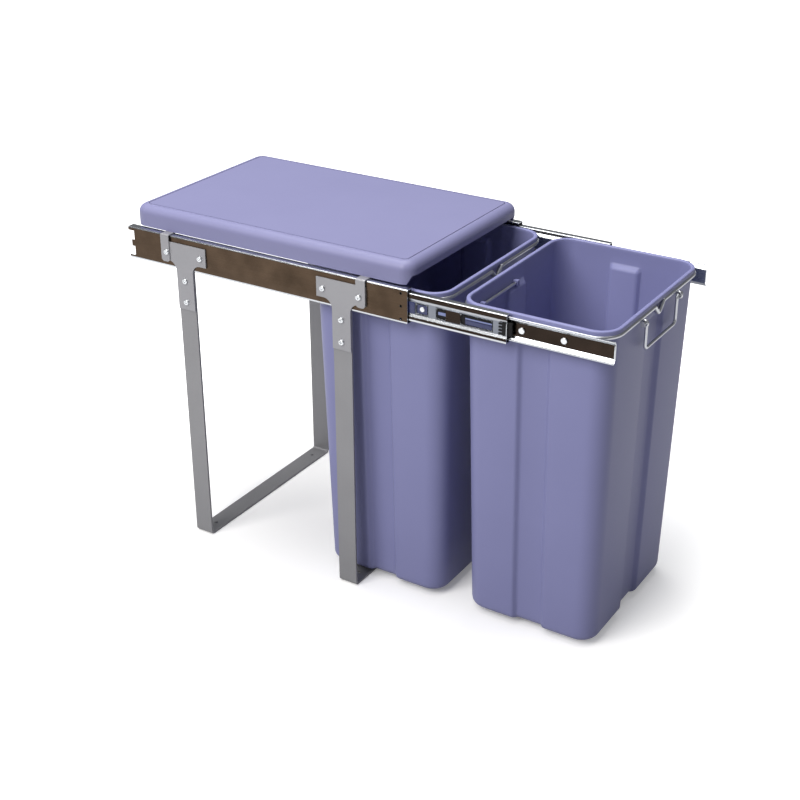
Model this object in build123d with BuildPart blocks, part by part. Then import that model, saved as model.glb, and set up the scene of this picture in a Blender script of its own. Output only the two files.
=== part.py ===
"""Pull-out bin frame: two bins that roll out of a lidded floor frame on full-extension slides.

Millimetres, +Z up. The origin lies on the floor, under the middle of the standing frame.
-Y is the way the bins pull out, and -X is the left side seen from the front.
The pieces are drawn with the slides pulled part of the way out.
"""

import os
from math import sqrt

from build123d import *

os.makedirs("parts", exist_ok=True)

# Standing frame
frame_width = 303.0
rail_centre_height = 436.0
leg_inset = 97.5
leg_width = 28.0
leg_thickness = 3.0
leg_bend_radius = 6.0
leg_top_gap = 0.6
floor_hole_diameter = 5.0
floor_hole_inset = 27.5

# Slides
rail_length = 450.0
rail_height = 45.7
rail_depth = 12.7
sheet_thickness = 1.2
rail_bend_radius = 2.0
rail_lip = 2.2
web_notch_length = 10.0
web_notch_edge = 5.0
notch_tab_length = 5.0
notch_tab_height = 9.0
rail_mark_diameter = 3.6
rail_mark_inset = 9.5
rail_mark_spacing = 17.0
pull_out = 273.0
ball_race_gap = 3.1
ball_clearance = 0.3
cage_thickness = 0.6
cage_clearance = 0.4
cage_length = 200.0
cage_flange_depth = 7.0
balls_per_row = 12
ball_pocket_clearance = 0.3

# Middle rail web
middle_recess_height = 24.2
middle_recess_floor_height = 17.0
middle_recess_depth = 1.6
middle_mouth_gap = 0.5
middle_bend_radius = 1.3
middle_lip = 2.0
window_height = 13.0
window_radius = 2.5
long_window_front = 20.2
long_window_length = 43.2
short_window_front = 83.0
short_window_length = 14.0
screw_window_front = 110.0
screw_window_length = 15.7
catch_plate_front = 63.4
catch_plate_length = 20.5
catch_plate_height = 15.0
catch_plate_thickness = 0.8

# Inner rail
inner_web_height = 18.4
inner_flange_width = 2.4
rivet_head_diameter = 8.4
rivet_head_height = 2.0
rivet_edge_radius = 0.9
rivet_shank_diameter = 4.0
rivet_tail_height = 1.0
rivet_hole_clearance = 0.1
rivet_front_inset = 64.9
rivet_pair_spacing = 55.6
stop_rivet_offset = 36.0
stop_pin_offset = 5.0
stop_pin_length = 9.0
stop_pin_height = 4.0

# Plastic bumpers
bumper_insert = 10.0
bumper_gap = 0.4
bumper_recess = 0.5
bumper_mouth_gap = 2.2
bumper_tongue_reach = 6.0
bumper_tongue_radius = 1.0

# Joining plates, with their screws and the lid hooks
plate_thickness = 2.0
plate_width = 75.0
plate_head_height = 26.5
plate_top_inset = 8.3
plate_height = 94.05
plate_inner_fillet = 13.0
plate_corner_radius = 3.0
plate_foot_radius = 6.0
plate_screw_inset = 9.5
stem_screw_drops = (37.4, 68.2)
screw_head_diameter = 8.0
screw_head_height = 2.4
screw_shank_diameter = 4.0
screw_hole_clearance = 0.1
screw_cross_width = 1.1
screw_cross_length = 4.6
screw_cross_depth = 1.0
hook_width = 14.0
hook_thickness = 1.5
hook_drop = 37.05
hook_reach = 34.0
hook_bend_radius = 2.5
lid_screw_inset = 26.0
lid_screw_head_height = 1.8
lid_screw_length = 8.0

# Lid
lid_end_inset = 3.0
lid_side_inset = 9.0
lid_offset = -2.0
lid_height = 28.5
lid_wall = 2.2
lid_corner_radius = 18.0
lid_shoulder_radius = 12.0
lid_front_lift = 10.5
lid_front_lift_length = 3.0
lid_crease_inset = 13.0
lid_crease_width = 1.2
lid_crease_depth = 0.6
lid_crease_corner_radius = 7.0
lid_boss_diameter = 11.0
lid_boss_hole_clearance = 0.1
lid_rib_thickness = 2.0
lid_rib_depth = 7.0

# Bins
bins_forward = 4.5
bin_gap = 27.4
bin_end_draft = 6.3
bin_side_draft = 13.4
bin_floor_height = 6.5
bin_rim_drop = 4.25
bin_wall = 2.0
bin_floor_thickness = 2.5
bin_corner_radius = 26.0
bin_foot_rounding = 11.0
rim_depth = 5.6
rim_overhang = 3.6
rim_rounding = 1.9
end_channel_width = 52.0
side_channel_width = 44.0
channel_depth = 7.0
channel_top_drop = 22.6
liner_rod_diameter = 4.0
liner_rod_drop = 20.6
liner_rod_end = 4.0
liner_rod_corner_gap = 11.4
liner_rod_gap = 1.6
rod_lug_width = 6.0
rod_lug_height = 8.0
rod_lug_wall = 1.8

# Wire rings and the pull handle
ring_wire_diameter = 5.0
ring_bin_clearance = 0.4
notch_width = 27.0
notch_depth = 13.0
notch_bend_radius = 4.0
bracket_length = 78.0
bracket_height = 19.0
bracket_thickness = 2.0
bracket_corner_radius = 3.0
handle_wire_diameter = 4.0
handle_width = 94.0
handle_drop = 36.0
handle_bend_radius = 6.0
handle_end_bend_radius = 3.5
handle_pivot_forward = 4.4
handle_pivot_below = 6.0
handle_end_length = 11.0
handle_head_diameter = 6.0
handle_head_length = 1.2
eye_wire_diameter = 3.0
eye_clearance = 0.4
eye_offset = 6.0

# One overrun for every cut
overrun = 1.0

# Sizes worked out from the ones above
half_width = frame_width / 2
half_rail = rail_height / 2
rail_top = rail_centre_height + half_rail
rail_bottom = rail_centre_height - half_rail
middle_half = half_rail - sheet_thickness - ball_race_gap
inner_half = middle_half - sheet_thickness - ball_race_gap
middle_face = sheet_thickness + 2 * cage_clearance + cage_thickness
middle_recess_face = middle_face + middle_recess_depth
middle_web_back = middle_recess_face + sheet_thickness
inner_mouth = middle_web_back + 2 * cage_clearance + cage_thickness
ball_diameter = ball_race_gap - 2 * ball_clearance
middle_shift = -pull_out / 2
outer_cage_shift = middle_shift / 2
inner_cage_shift = (middle_shift - pull_out) / 2
carrier_front = -rail_length / 2 - pull_out
plate_screw_offset = plate_width / 2 - plate_screw_inset
hook_offset = (plate_width - hook_width) / 2
stem_screw_heights = [rail_centre_height - drop for drop in stem_screw_drops]
lid_length = rail_length - 2 * lid_end_inset
lid_width = frame_width - 2 * lid_side_inset
bin_pitch = rail_length / 2
front_bin_y = -pull_out - bins_forward - bin_pitch / 2
rear_bin_y = -pull_out - bins_forward + bin_pitch / 2
stop_rivet_inset = bin_pitch + stop_rivet_offset
stop_pin_inset = bin_pitch + stop_pin_offset
ring_half_width = half_width - rail_depth - ring_wire_diameter / 2
ring_room = ring_bin_clearance + ring_wire_diameter / 2
bin_width = 2 * (ring_half_width - ring_room)
bin_foot_width = bin_width - 2 * bin_side_draft
bin_length = bin_pitch - bin_gap
bin_foot_length = bin_length - 2 * bin_end_draft
ring_half_length = bin_length / 2 + ring_room
ring_corner_radius = bin_corner_radius + ring_room
rim_top = rail_top - bin_rim_drop
rim_bottom = rim_top - rim_depth
ring_height = rim_bottom - ring_wire_diameter / 2
channel_top = rim_top - channel_top_drop
liner_rod_height = rim_top - liner_rod_drop
liner_rod_length = bin_width / 2 - bin_corner_radius - liner_rod_corner_gap + liner_rod_end


def save(name, piece):
    """Label a finished piece and write its STEP file."""
    piece.label = name
    export_step(piece, f"parts/{name}.step")


def save_pair(name, left):
    """Write a left piece, and its mirror image as the right one."""
    save(f"{name}_left", left.part)
    with BuildPart() as right:
        mirror(left.part, about=Plane.YZ)
    save(f"{name}_right", right.part)


def section_plane(y):
    """Plane across the left slide: x runs in from its outer face, y runs up from its centre."""
    return Plane(origin=(-half_width, y, rail_centre_height), x_dir=(1, 0, 0), z_dir=(0, -1, 0))


def web_plane(depth, y, height=rail_centre_height):
    """Plane along the left slide, facing outward: x runs forward from y, y runs up from height."""
    return Plane(origin=(-half_width + depth, y, height), x_dir=(0, -1, 0), z_dir=(-1, 0, 0))


def strip_section(plane, outline, radius, thickness, side):
    """Section of a bent sheet, from its outer outline."""
    with BuildSketch(plane) as section:
        with BuildLine():
            outer = FilletPolyline(*outline, radius=radius)
            offset(outer, amount=thickness, side=side)
        make_face()
    return section.sketch


def both_ways(points):
    """An outline's upper half, followed by its mirror image below the centre line."""
    return points + [(x, -y) for x, y in reversed(points)]


def wire_path(points, radius, closed=False):
    """Straight runs joined by arcs, in space."""
    with BuildLine() as path:
        FilletPolyline(*points, radius=radius, close=closed)
    return path.line


def sweep_wire(path, diameter):
    """Round wire along a path."""
    start = path @ 0
    with BuildSketch(Plane(origin=start, z_dir=path % 0)) as section:
        Circle(diameter / 2)
    sweep(section.sketch, path=path)


# Leg frames: one flat strap each, bent to a U that stands on its floor bar
def leg_frame(y):
    with BuildPart() as leg:
        plane = Plane(origin=(0, y, 0), x_dir=(1, 0, 0), z_dir=(0, -1, 0))
        leg_top = rail_bottom - leg_top_gap
        outline = [
            (-half_width, leg_top),
            (-half_width, 0),
            (half_width, 0),
            (half_width, leg_top),
        ]
        strap = strip_section(plane, outline, leg_bend_radius, leg_thickness, Side.LEFT)
        extrude(strap, amount=leg_width / 2, both=True)
        hole_x = half_width - floor_hole_inset
        with Locations((-hole_x, y, leg_thickness), (hole_x, y, leg_thickness)):
            Hole(floor_hole_diameter / 2)
        for height in stem_screw_heights:
            with BuildSketch(Plane.YZ):
                with Locations((y, height)):
                    Circle(screw_shank_diameter / 2 + screw_hole_clearance)
            extrude(amount=half_width + overrun, both=True, mode=Mode.SUBTRACT)
    return leg.part


rear_leg_y = rail_length / 2 - leg_inset
front_leg_y = -rear_leg_y
save("leg_frame_rear", leg_frame(rear_leg_y))
save("leg_frame_front", leg_frame(front_leg_y))


# Outer rails: C section, web outward, screwed to the joining plates
def plate_screw_places():
    """Y of the screws that hold the joining plates to a rail, with the hook's screws first."""
    return [
        rear_leg_y + plate_screw_offset,
        front_leg_y - plate_screw_offset,
        rear_leg_y - plate_screw_offset,
        front_leg_y + plate_screw_offset,
    ]


with BuildPart() as outer_rail:
    outer_outline = both_ways(
        [(rail_depth, half_rail - rail_lip), (rail_depth, half_rail), (0, half_rail)]
    )
    outer_section = strip_section(
        section_plane(0), outer_outline, rail_bend_radius, sheet_thickness, Side.LEFT
    )
    extrude(outer_section, amount=rail_length / 2, both=True)
    with BuildSketch(web_plane(-overrun, rail_length / 2)):
        with Locations(((web_notch_length - overrun) / 2, 0)):
            Rectangle(web_notch_length + overrun, rail_height - 2 * web_notch_edge)
        with Locations((web_notch_length - notch_tab_length / 2, 0)):
            Rectangle(notch_tab_length, notch_tab_height, mode=Mode.SUBTRACT)
    extrude(amount=-sheet_thickness - 2 * overrun, mode=Mode.SUBTRACT)
    with BuildSketch(web_plane(-overrun, -rail_length / 2)):
        with Locations((-rail_mark_inset, 0)):
            with GridLocations(0, rail_mark_spacing, 1, 3):
                Circle(rail_mark_diameter / 2)
        for screw_y in plate_screw_places():
            with Locations((-rail_length / 2 - screw_y, 0)):
                Circle(screw_shank_diameter / 2 + screw_hole_clearance)
    extrude(amount=-sheet_thickness - 2 * overrun, mode=Mode.SUBTRACT)
save_pair("outer_rail", outer_rail)


# Middle rails: recessed web with windows, running inside the outer rails
middle_front = -rail_length / 2 + middle_shift
middle_outline = both_ways(
    [
        (rail_depth - middle_mouth_gap, middle_half - middle_lip),
        (rail_depth - middle_mouth_gap, middle_half),
        (middle_face, middle_half),
        (middle_face, middle_recess_height / 2),
        (middle_recess_face, middle_recess_floor_height / 2),
    ]
)
with BuildPart() as middle_rail:
    middle_section = strip_section(
        section_plane(middle_shift), middle_outline, middle_bend_radius, sheet_thickness, Side.LEFT
    )
    extrude(middle_section, amount=rail_length / 2, both=True)
    windows = [
        (long_window_front, long_window_length),
        (short_window_front, short_window_length),
        (screw_window_front, screw_window_length),
    ]
    with BuildSketch(web_plane(0, middle_front)):
        for window_front, window_length in windows:
            with Locations((-window_front - window_length / 2, 0)):
                RectangleRounded(window_length, window_height, window_radius)
    extrude(amount=-inner_mouth, mode=Mode.SUBTRACT)
    with BuildSketch(web_plane(middle_recess_face, middle_front)):
        with Locations((-catch_plate_front - catch_plate_length / 2, 0)):
            Rectangle(catch_plate_length, catch_plate_height)
    extrude(amount=catch_plate_thickness)
save_pair("middle_rail", middle_rail)


# Inner rails: smallest section, open outward, riveted to the rings' brackets
inner_outline = both_ways(
    [
        (inner_mouth, inner_half),
        (inner_mouth + inner_flange_width, inner_half),
        (rail_depth, inner_web_height / 2),
    ]
)


def rivet_insets():
    """How far each bracket rivet lies behind the inner rails' front ends."""
    return [
        inset + bin_shift
        for bin_shift in (0, bin_pitch)
        for inset in (rivet_front_inset, rivet_front_inset + rivet_pair_spacing)
    ]


with BuildPart() as inner_rail:
    inner_section = strip_section(
        section_plane(-pull_out), inner_outline, middle_bend_radius, sheet_thickness, Side.RIGHT
    )
    extrude(inner_section, amount=rail_length / 2, both=True)
    with BuildSketch(web_plane(0, carrier_front)):
        for inset in rivet_insets() + [stop_rivet_inset]:
            with Locations((-inset, 0)):
                Circle(rivet_shank_diameter / 2 + rivet_hole_clearance)
    extrude(amount=-rail_depth - overrun, mode=Mode.SUBTRACT)
    inner_web_face = rail_depth - sheet_thickness
    with BuildSketch(web_plane(inner_web_face, carrier_front)):
        with Locations((-stop_pin_inset, 0)):
            SlotOverall(stop_pin_length, stop_pin_height)
    extrude(amount=rivet_head_height)
save_pair("inner_rail", inner_rail)


def rivet(depth, y, grip):
    """Button head rivet whose head sits on the web at this depth and faces outward."""
    with BuildPart() as pin:
        with BuildSketch(web_plane(depth, y)):
            Circle(rivet_head_diameter / 2)
        extrude(amount=rivet_head_height)
        fillet(pin.edges().group_by(Axis.X)[0], radius=rivet_edge_radius)
        with BuildSketch(web_plane(depth, y)):
            Circle(rivet_shank_diameter / 2)
        extrude(amount=-grip)
        with BuildSketch(web_plane(depth + grip, y)):
            Circle(rivet_head_diameter / 3)
        extrude(amount=-rivet_tail_height)
    return pin.part


with BuildPart() as bracket_rivets:
    for inset in rivet_insets():
        add(rivet(inner_web_face, carrier_front + inset, sheet_thickness + bracket_thickness))
save_pair("bracket_rivets", bracket_rivets)

with BuildPart() as stop_rivet:
    add(rivet(inner_web_face, carrier_front + stop_rivet_inset, sheet_thickness))
save_pair("stop_rivet", stop_rivet)


# Ball cages: a C of thin sheet with its balls, one outside and one inside each middle rail
def cage_and_balls(name, shift, web_depth, race_half, ball_depth):
    """A cage between a rail's outer face and the race outside it, and the balls in its pockets."""
    ball_height = race_half + ball_race_gap / 2
    flange_height = ball_height + cage_thickness / 2
    outline = both_ways([(web_depth + cage_flange_depth, flange_height), (web_depth, flange_height)])
    pitch = cage_length / balls_per_row
    with BuildPart() as cage:
        sheet = strip_section(
            section_plane(shift), outline, 2 * cage_thickness, cage_thickness, Side.LEFT
        )
        extrude(sheet, amount=cage_length / 2, both=True)
        pockets = Plane(origin=(-half_width + ball_depth, shift, rail_centre_height))
        with BuildSketch(pockets):
            with GridLocations(0, pitch, 1, balls_per_row):
                Circle((ball_diameter + ball_pocket_clearance) / 2)
        extrude(amount=half_rail, both=True, mode=Mode.SUBTRACT)
    save_pair(f"{name}_cage", cage)
    with BuildPart() as balls:
        centre = (-half_width + ball_depth, shift, rail_centre_height)
        with Locations(centre):
            with GridLocations(0, pitch, 1, balls_per_row):
                with Locations((0, 0, ball_height), (0, 0, -ball_height)):
                    Sphere(ball_diameter / 2)
    save_pair(f"{name}_balls", balls)


outer_cage_web = sheet_thickness + cage_clearance
inner_cage_web = middle_web_back + cage_clearance
cage_and_balls(
    "outer", outer_cage_shift, outer_cage_web, middle_half, outer_cage_web + 2 * cage_flange_depth / 3
)
cage_and_balls(
    "inner", inner_cage_shift, inner_cage_web, inner_half, inner_mouth + inner_flange_width / 2
)


# Bumpers: black plastic collars in the front ends of the outer and middle rails
def bumper(front, inset_face, room_half, passing_half, passing_face):
    """C collar between a rail's inside and the outside of the rail that runs in it."""
    web_end = passing_face - bumper_gap
    flange_bottom = passing_half + bumper_gap
    mouth = rail_depth - bumper_mouth_gap
    outline = both_ways([(mouth, room_half), (inset_face, room_half)])
    inside = both_ways([(mouth + overrun, flange_bottom), (web_end, flange_bottom)])
    with BuildPart() as collar:
        with BuildSketch(section_plane(front + bumper_insert)) as section:
            Polygon(*outline, align=None)
            fillet(section.vertices().group_by(Axis.X)[0], radius=rail_bend_radius)
            Polygon(*inside, align=None, mode=Mode.SUBTRACT)
        extrude(amount=bumper_insert - bumper_recess)
    return collar


save_pair(
    "outer_bumper",
    bumper(
        -rail_length / 2,
        sheet_thickness,
        half_rail - sheet_thickness,
        middle_half,
        middle_face,
    ),
)

with BuildPart() as middle_bumper:
    collar = bumper(
        middle_front, middle_web_back, middle_half - sheet_thickness, inner_half, inner_mouth
    )
    add(collar.part)
    tongue_half = inner_web_height / 2 - bumper_gap
    tongue_face = inner_web_face - rivet_head_height - bumper_gap
    tongue_outline = both_ways([(tongue_face, tongue_half), (middle_web_back, tongue_half)])
    with BuildSketch(section_plane(middle_front + bumper_insert)):
        Polygon(*tongue_outline, align=None)
    extrude(amount=bumper_insert + bumper_tongue_reach)
    tongue_front = middle_bumper.edges().filter_by(Axis.Z).group_by(Axis.Y)[0]
    fillet(tongue_front, radius=bumper_tongue_radius)
save_pair("middle_bumper", middle_bumper)


# Joining plates: flat T plates that carry each rail on its legs
def joining_plate(leg_y):
    """T plate on the left side, its head on the rail and its stem on the leg."""
    head_top = half_rail - plate_top_inset
    head_bottom = head_top - plate_head_height
    stem_bottom = head_top - plate_height
    with BuildPart() as plate:
        with BuildSketch(web_plane(0, leg_y)) as outline:
            with Locations((0, (head_top + head_bottom) / 2)):
                Rectangle(plate_width, plate_head_height)
            with Locations((0, (head_top + stem_bottom) / 2)):
                Rectangle(leg_width, head_top - stem_bottom)
            levels = outline.vertices().group_by(Axis.Y)
            stem_corners = levels[1].sort_by(Axis.X)[1:3]
            head_corners = levels[1].sort_by(Axis.X)[0:1] + levels[1].sort_by(Axis.X)[3:] + levels[2]
            fillet(stem_corners, radius=plate_inner_fillet)
            fillet(levels[0], radius=plate_foot_radius)
            fillet(head_corners, radius=plate_corner_radius)
            hole_radius = screw_shank_diameter / 2 + screw_hole_clearance
            with Locations((plate_screw_offset, 0), (-plate_screw_offset, 0)):
                Circle(hole_radius, mode=Mode.SUBTRACT)
            for height in stem_screw_heights:
                with Locations((0, height - rail_centre_height)):
                    Circle(hole_radius, mode=Mode.SUBTRACT)
        extrude(amount=plate_thickness)
    return plate


save_pair("joining_plate_rear", joining_plate(rear_leg_y))
save_pair("joining_plate_front", joining_plate(front_leg_y))


# Lid hooks: strips screwed over the plates, bent over the rail top to carry the lid
def lid_hook(leg_y, outward):
    """Bent strip on the left side, towards the outer end of its plate."""
    y = leg_y + outward * hook_offset
    face = -half_width - plate_thickness - hook_thickness
    top = rail_top + hook_thickness
    outline = [(face, rail_top - hook_drop), (face, top), (-half_width + hook_reach, top)]
    with BuildPart() as hook:
        plane = Plane(origin=(0, y, 0), x_dir=(1, 0, 0), z_dir=(0, -1, 0))
        strip = strip_section(plane, outline, hook_bend_radius, hook_thickness, Side.RIGHT)
        extrude(strip, amount=hook_width / 2, both=True)
        foot = hook.edges().filter_by(Axis.X).group_by(Axis.Z)[0]
        fillet(foot, radius=hook_width / 3)
        hole_radius = screw_shank_diameter / 2 + screw_hole_clearance
        with BuildSketch(web_plane(hook_reach, leg_y + outward * plate_screw_offset)):
            Circle(hole_radius)
        extrude(amount=half_width, mode=Mode.SUBTRACT)
        with BuildSketch(Plane(origin=(-half_width + lid_screw_inset, y, rail_top - overrun))):
            Circle(hole_radius)
        extrude(amount=hook_thickness + 2 * overrun, mode=Mode.SUBTRACT)
    return hook


save_pair("lid_hook_rear", lid_hook(rear_leg_y, 1))
save_pair("lid_hook_front", lid_hook(front_leg_y, -1))


# Screws: pan heads with cross recesses
def pan_screw(place, head_height, length):
    """Screw whose head stands on this plane and whose shank runs back from it."""
    with BuildPart() as screw:
        with BuildSketch(place):
            Circle(screw_head_diameter / 2)
        extrude(amount=head_height)
        crown = screw.faces().sort_by(Axis(place.origin, place.z_dir))[-1]
        fillet(crown.edges(), radius=head_height / 2)
        with BuildSketch(place):
            Circle(screw_shank_diameter / 2)
        extrude(amount=-length)
        with BuildSketch(place.offset(head_height - screw_cross_depth)):
            Rectangle(screw_cross_length, screw_cross_width)
            Rectangle(screw_cross_width, screw_cross_length)
        extrude(amount=head_height, mode=Mode.SUBTRACT)
    return screw.part


with BuildPart() as plate_screws:
    plate_grip = plate_thickness + sheet_thickness
    for index, screw_y in enumerate(plate_screw_places()):
        under_hook = hook_thickness if index < 2 else 0
        seat = web_plane(-plate_thickness - under_hook, screw_y)
        add(pan_screw(seat, screw_head_height, plate_grip + under_hook))
    for leg_y in (rear_leg_y, front_leg_y):
        for height in stem_screw_heights:
            seat = web_plane(-plate_thickness, leg_y, height)
            add(pan_screw(seat, screw_head_height, plate_thickness + leg_thickness))
save_pair("plate_screws", plate_screws)

lid_screw_y = (rear_leg_y + hook_offset, front_leg_y - hook_offset)
with BuildPart() as lid_screws:
    for screw_y in lid_screw_y:
        origin = (-half_width + lid_screw_inset, screw_y, rail_top)
        seat = Plane(origin=origin, x_dir=(1, 0, 0), z_dir=(0, 0, -1))
        add(pan_screw(seat, lid_screw_head_height, lid_screw_length))
save_pair("lid_screws", lid_screws)


# Lid: moulded shell with rounded shoulders, screwed down on the four hooks
lid_bottom = rail_top + hook_thickness
lid_front = lid_offset - lid_length / 2
lid_ceiling = lid_bottom + lid_height - lid_wall
with BuildPart() as lid:
    with BuildSketch(Plane(origin=(0, lid_offset, lid_bottom))):
        RectangleRounded(lid_width, lid_length, lid_corner_radius)
    extrude(amount=lid_height)
    fillet(lid.edges().group_by(Axis.Z)[-1], radius=lid_shoulder_radius)
    offset(amount=-lid_wall, openings=lid.faces().sort_by(Axis.Z)[0])
    panel_width = lid_width - 2 * lid_crease_inset
    panel_length = lid_length - 2 * lid_crease_inset
    with BuildSketch(Plane(origin=(0, lid_offset, lid_bottom + lid_height))) as crease:
        RectangleRounded(panel_width, panel_length, lid_crease_corner_radius)
        offset(amount=-lid_crease_width, mode=Mode.SUBTRACT)
    extrude(crease.sketch, amount=-lid_crease_depth, mode=Mode.SUBTRACT)
    lift_end = lid_front + lid_front_lift_length
    with BuildSketch(Plane.YZ):
        Polygon(
            (lid_front - overrun, lid_bottom - overrun),
            (lift_end + lid_front_lift / 2, lid_bottom - overrun),
            (lift_end, lid_bottom + lid_front_lift),
            (lid_front - overrun, lid_bottom + lid_front_lift),
            align=None,
        )
    extrude(amount=half_width, both=True, mode=Mode.SUBTRACT)
    rib_plane = Plane(origin=(0, lid_offset, lid_ceiling - lid_rib_depth))
    rib_width = lid_width - 2 * lid_shoulder_radius
    rib_length = lid_length - 2 * lid_shoulder_radius
    with BuildSketch(rib_plane):
        with GridLocations(0, rib_length / 4, 1, 3):
            Rectangle(rib_width, lid_rib_thickness)
        with GridLocations(rib_width / 3, 0, 2, 1):
            Rectangle(lid_rib_thickness, rib_length)
    extrude(amount=lid_rib_depth + lid_wall / 2)
    boss_x = half_width - lid_screw_inset
    for screw_y in lid_screw_y:
        with BuildSketch(Plane(origin=(0, screw_y, lid_bottom))):
            with Locations((-boss_x, 0), (boss_x, 0)):
                Circle(lid_boss_diameter / 2)
        extrude(amount=lid_ceiling + lid_wall / 2 - lid_bottom)
        with BuildSketch(Plane(origin=(0, screw_y, lid_bottom))):
            with Locations((-boss_x, 0), (boss_x, 0)):
                Circle(screw_shank_diameter / 2 + lid_boss_hole_clearance)
        extrude(amount=lid_screw_length, mode=Mode.SUBTRACT)
save("lid", lid.part)


# Bins: tapered moulded shells with a rolled rim and a channel down each wall
def half_at(height, foot, top):
    """Half of a bin's outer size at a height, from its sizes at the foot and under the rim."""
    share = (height - bin_floor_height) / (rim_bottom - bin_floor_height)
    return (foot + (top - foot) * share) / 2


def channel_profile(foot, top, grow):
    """Side view of a channel in one wall, deeper and higher by the wall when it is grown."""
    depth = channel_depth + grow
    peak = channel_top + sqrt(2) * grow
    below = bin_floor_height - bin_foot_rounding
    outside = top / 2 + channel_depth
    return [
        (outside, peak),
        (half_at(peak, foot, top), peak),
        (half_at(peak - depth, foot, top) - depth, peak - depth),
        (half_at(below, foot, top) - depth, below),
        (outside, below),
    ]


def channels(y, grow):
    """The space of the four channels, grown by a wall where the inside goes around them."""
    ends = channel_profile(bin_foot_length, bin_length, grow)
    sides = channel_profile(bin_foot_width, bin_width, grow)
    end_half = end_channel_width / 2 + grow
    side_half = side_channel_width / 2 + grow
    with BuildPart() as space:
        with BuildSketch(Plane(origin=(0, y, 0), x_dir=(0, 1, 0), z_dir=(1, 0, 0))):
            Polygon(*ends, align=None)
            Polygon(*[(-along, height) for along, height in ends], align=None)
        extrude(amount=end_half, both=True)
        with BuildSketch(Plane(origin=(0, y, 0), x_dir=(1, 0, 0), z_dir=(0, -1, 0))):
            Polygon(*sides, align=None)
            Polygon(*[(-along, height) for along, height in sides], align=None)
        extrude(amount=side_half, both=True)
    return space.part


def bin_inside(y):
    """The room inside a bin, down to its floor and around the channels' backs."""
    floor = bin_floor_height + bin_floor_thickness
    radius = bin_corner_radius - bin_wall
    floor_width = 2 * (half_at(floor, bin_foot_width, bin_width) - bin_wall)
    floor_length = 2 * (half_at(floor, bin_foot_length, bin_length) - bin_wall)
    with BuildPart() as room:
        with BuildSketch(Plane(origin=(0, y, floor))):
            RectangleRounded(floor_width, floor_length, radius)
        with BuildSketch(Plane(origin=(0, y, rim_bottom))):
            RectangleRounded(bin_width - 2 * bin_wall, bin_length - 2 * bin_wall, radius)
        loft()
        fillet(room.edges().group_by(Axis.Z)[0], radius=bin_foot_rounding - bin_wall)
        with BuildSketch(Plane(origin=(0, y, rim_bottom))):
            RectangleRounded(bin_width - 2 * bin_wall, bin_length - 2 * bin_wall, radius)
        extrude(amount=rim_depth + overrun)
        add(channels(y, bin_wall), mode=Mode.SUBTRACT)
    return room.part


def bin_shell(y):
    with BuildPart() as shell:
        with BuildSketch(Plane(origin=(0, y, bin_floor_height))):
            RectangleRounded(bin_foot_width, bin_foot_length, bin_corner_radius)
        with BuildSketch(Plane(origin=(0, y, rim_bottom))):
            RectangleRounded(bin_width, bin_length, bin_corner_radius)
        loft()
        fillet(shell.edges().group_by(Axis.Z)[0], radius=bin_foot_rounding)
        add(channels(y, 0), mode=Mode.SUBTRACT)
        with BuildSketch(Plane(origin=(0, y, rim_bottom))):
            RectangleRounded(
                bin_width + 2 * rim_overhang,
                bin_length + 2 * rim_overhang,
                bin_corner_radius + rim_overhang,
            )
        extrude(amount=rim_depth)
        add(bin_inside(y), mode=Mode.SUBTRACT)
        fillet(shell.edges().group_by(Axis.Z)[-1], radius=rim_rounding)
        rod_y = liner_rod_y(y)
        with Locations(*[(x, rod_y, liner_rod_height) for x in rod_lug_places()]):
            Box(rod_lug_width, liner_rod_diameter + 2 * rod_lug_wall, rod_lug_height)
        lug_root = half_at(liner_rod_height, bin_foot_length, bin_length) - bin_wall / 2 + y
        with Locations(*[(x, (rod_y + lug_root) / 2, liner_rod_height) for x in rod_lug_places()]):
            Box(rod_lug_width, lug_root - rod_y, rod_lug_height)
        with BuildSketch(Plane.YZ.offset(rod_lug_places()[1] - rod_lug_width)):
            with Locations((rod_y, liner_rod_height)):
                Circle(liner_rod_diameter / 2 + screw_hole_clearance)
        extrude(amount=liner_rod_length, mode=Mode.SUBTRACT)
    return shell.part


def liner_rod_y(y):
    """Y of the rod's centre, a little inside the rear wall."""
    wall_inside = half_at(liner_rod_height, bin_foot_length, bin_length) - bin_wall
    return y + wall_inside - liner_rod_gap - liner_rod_diameter / 2


def rod_lug_places():
    """X of the two lugs that hold the rod: at the middle of the wall, and near its left corner."""
    first = liner_rod_end - rod_lug_width
    return [first, first - liner_rod_length + 2 * rod_lug_width]


def liner_rod(y):
    with BuildPart() as rod:
        with BuildSketch(Plane.YZ.offset(liner_rod_end)):
            with Locations((liner_rod_y(y), liner_rod_height)):
                Circle(liner_rod_diameter / 2)
        extrude(amount=-liner_rod_length)
    return rod.part


for place, bin_y in (("front", front_bin_y), ("rear", rear_bin_y)):
    save(f"bin_{place}", bin_shell(bin_y))
    save(f"liner_rod_{place}", liner_rod(bin_y))


# Wire rings: they carry the bins by their rims, and dip at both ends for the fingers
def ring_wire(y):
    corner_x = ring_half_width
    dip = notch_width / 2
    front_half = [
        (-corner_x, -ring_half_length, 0),
        (-dip, -ring_half_length, 0),
        (0, -ring_half_length, -notch_depth),
        (dip, -ring_half_length, 0),
        (corner_x, -ring_half_length, 0),
    ]
    rear_half = [(-x, -along, drop) for x, along, drop in front_half]
    points = [(x, y + along, ring_height + drop) for x, along, drop in front_half + rear_half]
    half_radii = [ring_corner_radius] + [notch_bend_radius] * 3 + [ring_corner_radius]
    path = wire_path(points, half_radii * 2, closed=True)
    with BuildPart() as ring:
        sweep_wire(path, ring_wire_diameter)
    return ring.part


handle_y = front_bin_y - ring_half_length - handle_pivot_forward
handle_height = ring_height - handle_pivot_below
handle_half = handle_width / 2
eye_radius = handle_wire_diameter / 2 + eye_clearance + eye_wire_diameter / 2

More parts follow.
